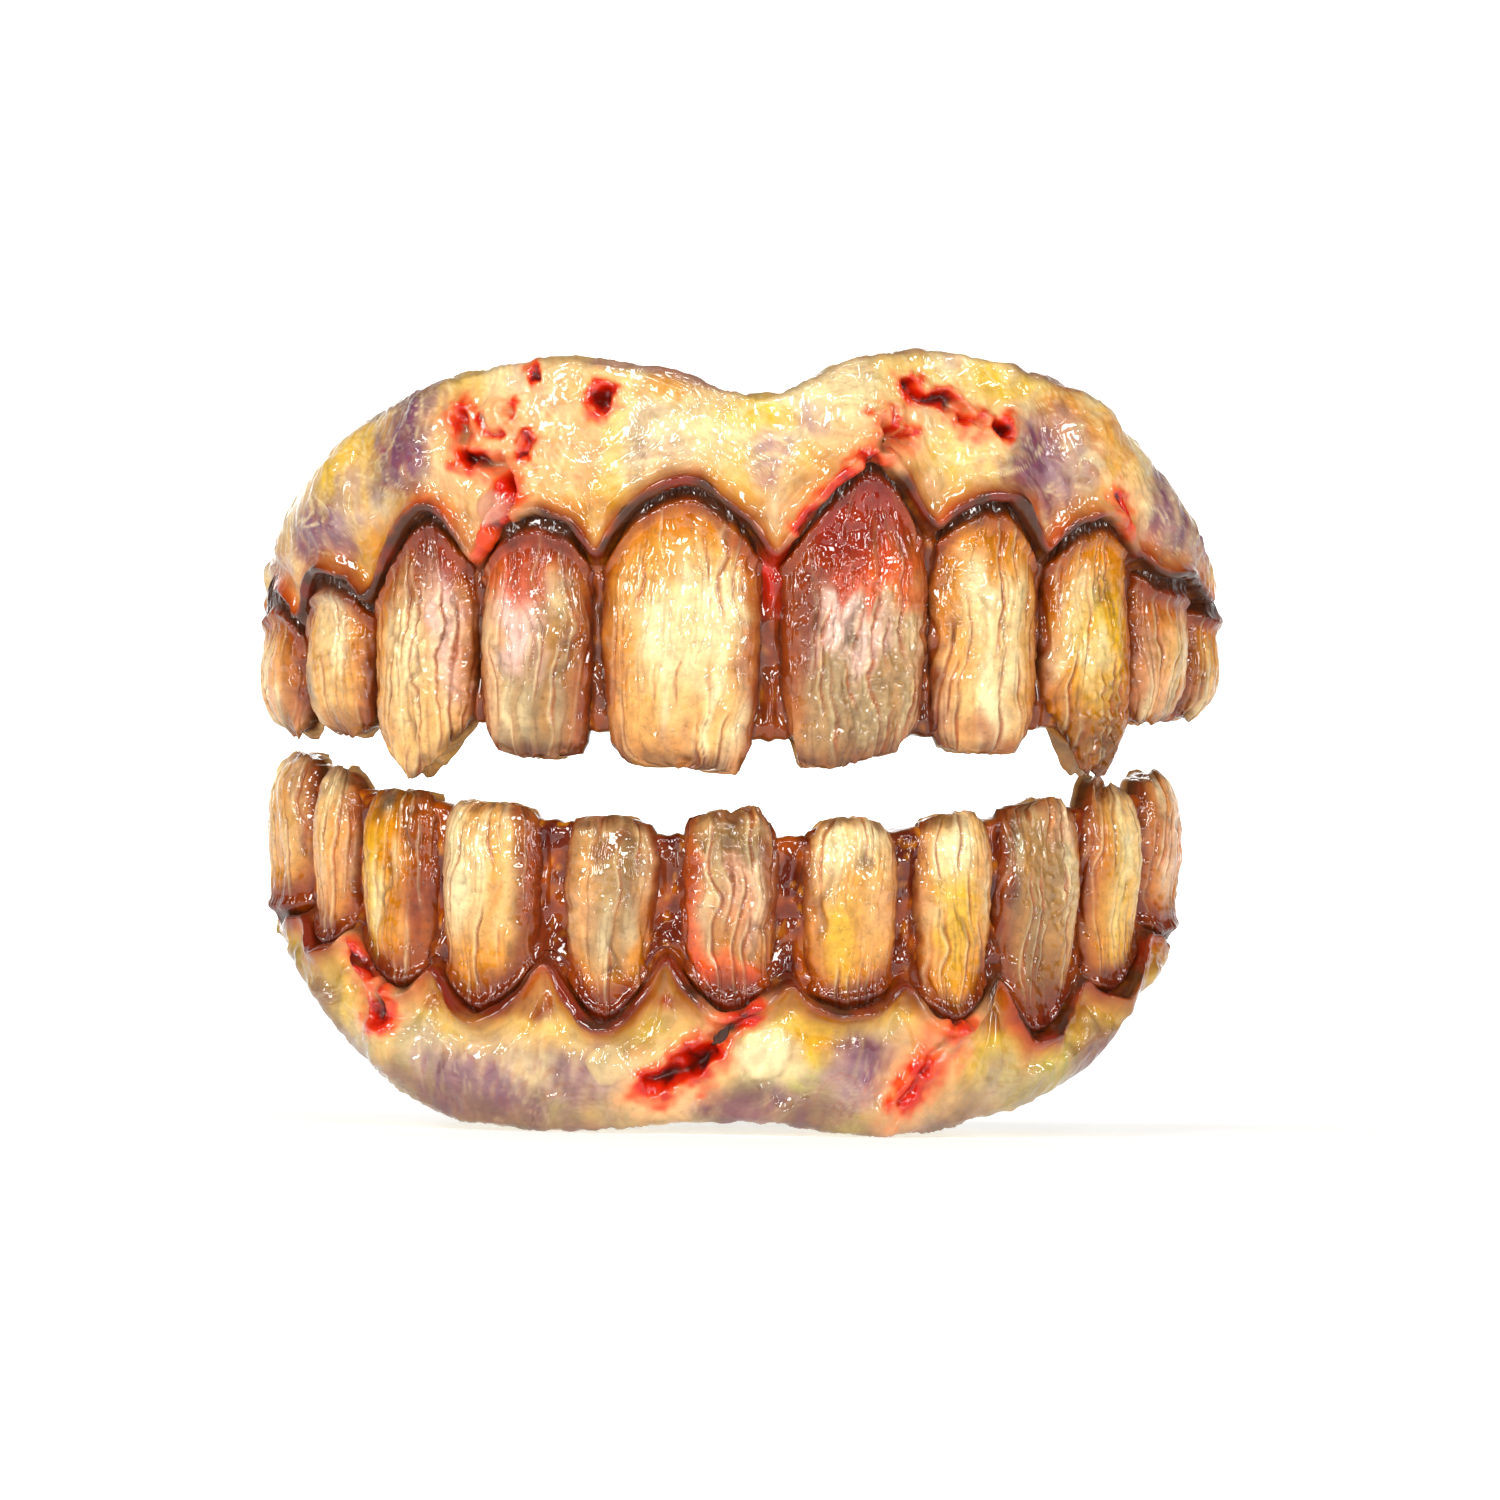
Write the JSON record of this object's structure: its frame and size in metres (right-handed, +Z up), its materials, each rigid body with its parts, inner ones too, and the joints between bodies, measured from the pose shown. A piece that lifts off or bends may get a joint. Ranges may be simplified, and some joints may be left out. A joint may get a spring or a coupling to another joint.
{
  "type": "costume teeth, upper and lower arch",
  "caption": "Cast resin gums with long, stained, ragged teeth set in sockets along the front and an open trough behind that slips over the wearer's own teeth.",
  "frame": {"origin": "on the midline, in the middle of the upper trough, at the height where the two rows of teeth meet", "axes": "+X towards the wearer's left, -Y the way the teeth face, +Z up"},
  "size_m": [0.0606, 0.0259, 0.0478],
  "materials": {
    "upper_gum": "gloss lacquer over painted resin",
    "upper_right_second_premolar": "gloss lacquer over painted resin",
    "upper_right_first_premolar": "gloss lacquer over painted resin",
    "upper_right_canine": "gloss lacquer over painted resin",
    "upper_right_lateral_incisor": "gloss lacquer over painted resin",
    "upper_right_central_incisor": "gloss lacquer over painted resin",
    "upper_left_central_incisor": "gloss lacquer over painted resin",
    "upper_left_lateral_incisor": "gloss lacquer over painted resin",
    "upper_left_canine": "gloss lacquer over painted resin",
    "upper_left_first_premolar": "gloss lacquer over painted resin",
    "upper_left_second_premolar": "gloss lacquer over painted resin",
    "lower_gum": "gloss lacquer over painted resin",
    "lower_right_second_premolar": "gloss lacquer over painted resin",
    "lower_right_first_premolar": "gloss lacquer over painted resin",
    "lower_right_canine": "gloss lacquer over painted resin",
    "lower_right_lateral_incisor": "gloss lacquer over painted resin",
    "lower_right_central_incisor": "gloss lacquer over painted resin",
    "lower_middle_incisor": "gloss lacquer over painted resin",
    "lower_left_central_incisor": "gloss lacquer over painted resin",
    "lower_left_lateral_incisor": "gloss lacquer over painted resin",
    "lower_left_canine": "gloss lacquer over painted resin",
    "lower_left_first_premolar": "gloss lacquer over painted resin",
    "lower_left_second_premolar": "gloss lacquer over painted resin"
  },
  "bodies": {
    "root": {"upper_gum": "upper_gum", "upper_right_second_premolar": "upper_right_second_premolar", "upper_right_first_premolar": "upper_right_first_premolar", "upper_right_canine": "upper_right_canine", "upper_right_lateral_incisor": "upper_right_lateral_incisor", "upper_right_central_incisor": "upper_right_central_incisor", "upper_left_central_incisor": "upper_left_central_incisor", "upper_left_lateral_incisor": "upper_left_lateral_incisor", "upper_left_canine": "upper_left_canine", "upper_left_first_premolar": "upper_left_first_premolar", "upper_left_second_premolar": "upper_left_second_premolar", "lower_gum": "lower_gum", "lower_right_second_premolar": "lower_right_second_premolar", "lower_right_first_premolar": "lower_right_first_premolar", "lower_right_canine": "lower_right_canine", "lower_right_lateral_incisor": "lower_right_lateral_incisor", "lower_right_central_incisor": "lower_right_central_incisor", "lower_middle_incisor": "lower_middle_incisor", "lower_left_central_incisor": "lower_left_central_incisor", "lower_left_lateral_incisor": "lower_left_lateral_incisor", "lower_left_canine": "lower_left_canine", "lower_left_first_premolar": "lower_left_first_premolar", "lower_left_second_premolar": "lower_left_second_premolar"}
  },
  "joints": []
}
